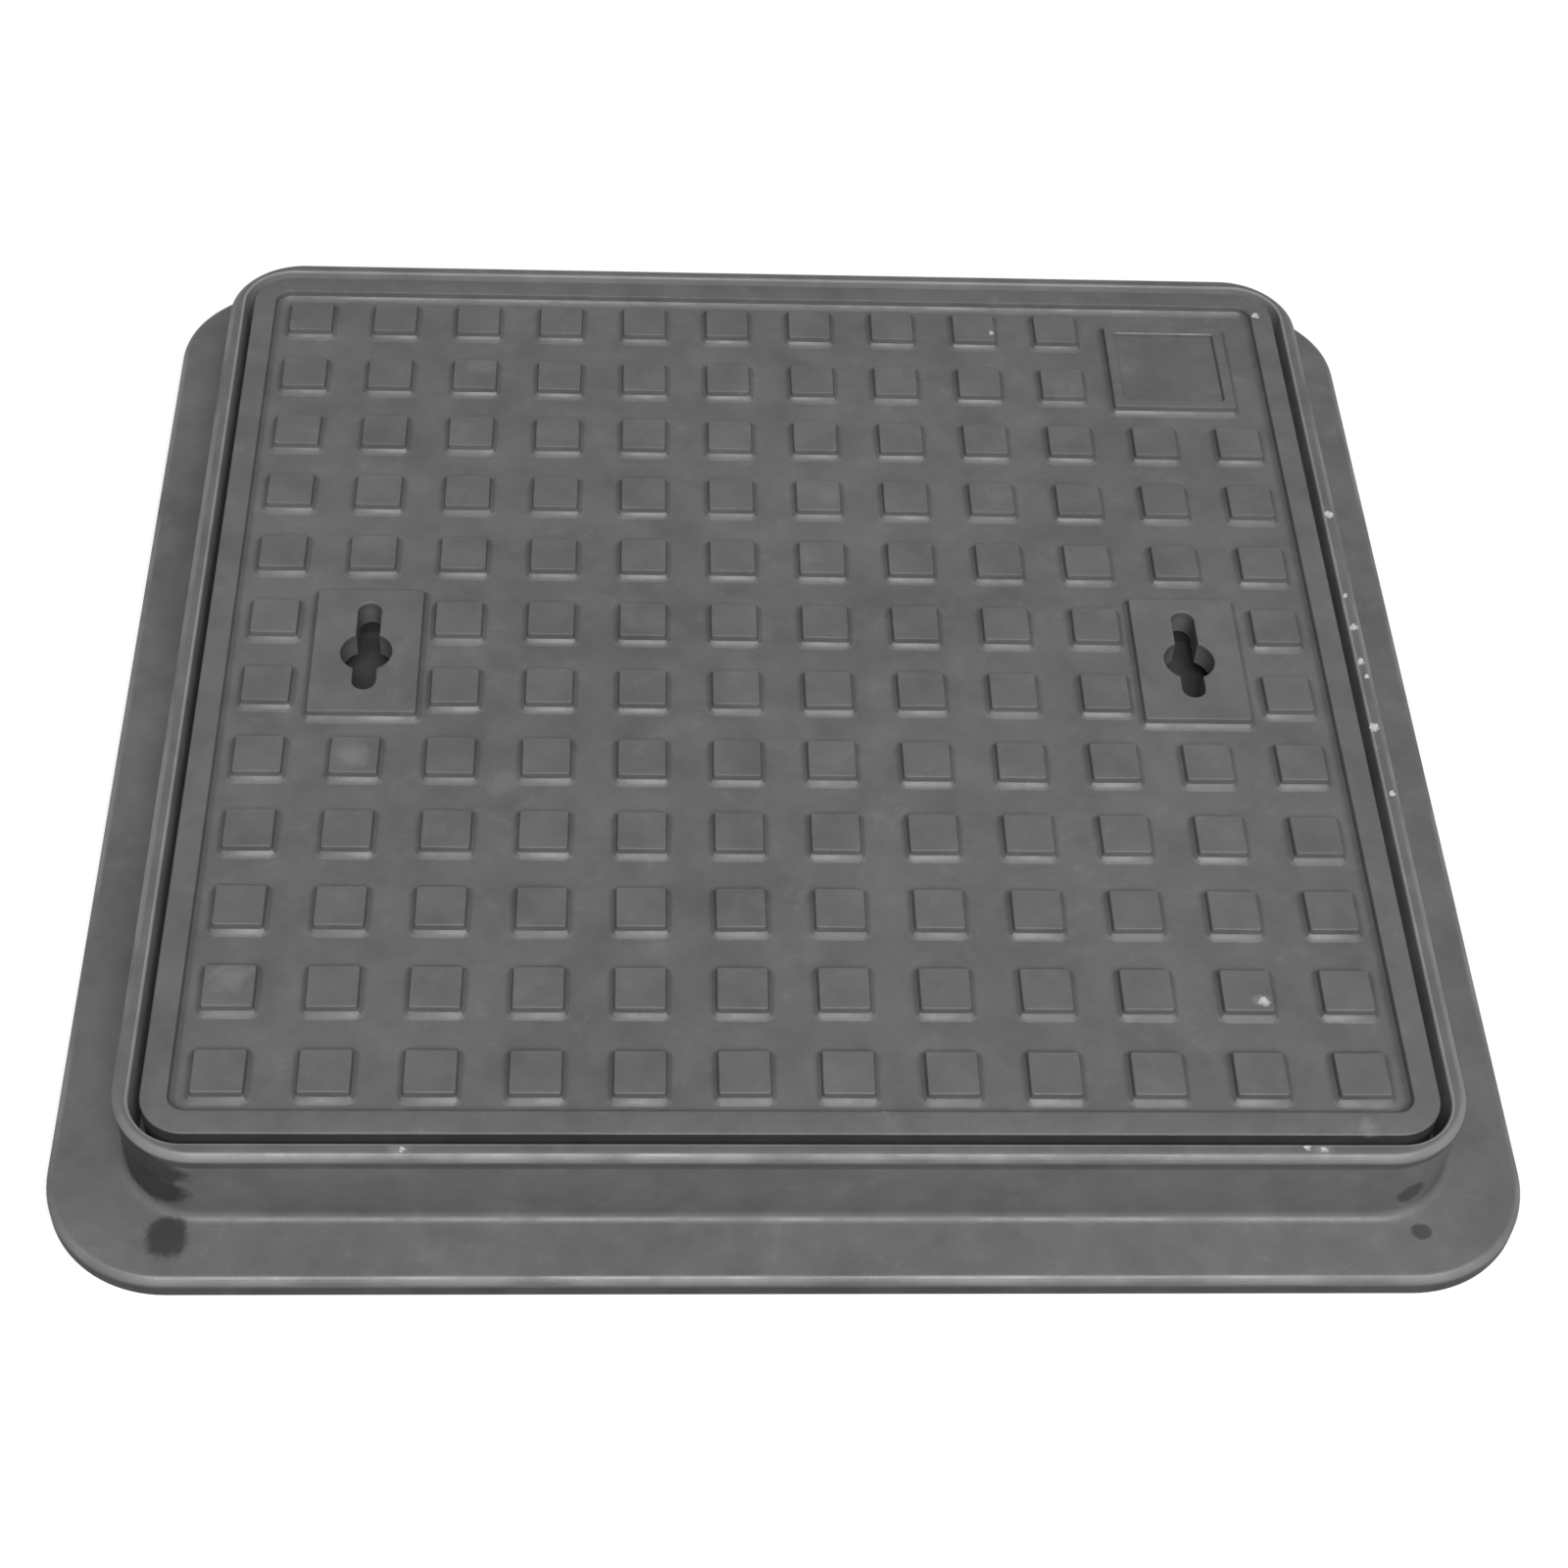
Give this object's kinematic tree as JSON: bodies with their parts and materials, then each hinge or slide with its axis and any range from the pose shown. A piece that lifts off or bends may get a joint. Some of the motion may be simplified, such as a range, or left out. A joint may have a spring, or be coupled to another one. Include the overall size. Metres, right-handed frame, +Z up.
{
  "type": "manhole cover",
  "caption": "Square manhole cover with a square-stud tread, raised border and keyholes on pads, resting in a low frame with a wide base flange.",
  "frame": {"origin": "centre of the frame's underside", "axes": "+Z up out of the tread, +X from the left keyhole to the right keyhole, +Y towards the edge nearest the corner panel"},
  "size_m": [0.576, 0.576, 0.05],
  "materials": {
    "frame_composite": "glass-reinforced resin composite, as moulded: mid grey, satin, faintly mottled, with pale scuffs on the rim",
    "cover_composite": "glass-reinforced resin composite, as moulded: mid grey, satin, faintly mottled, with light traffic scuffs on the studs",
    "cup_plastic": "plain dark moulded plastic, matt"
  },
  "bodies": {
    "root": {"frame": "frame_composite", "cover": "cover_composite", "key_cup_left": "cup_plastic", "key_cup_right": "cup_plastic"}
  },
  "joints": []
}
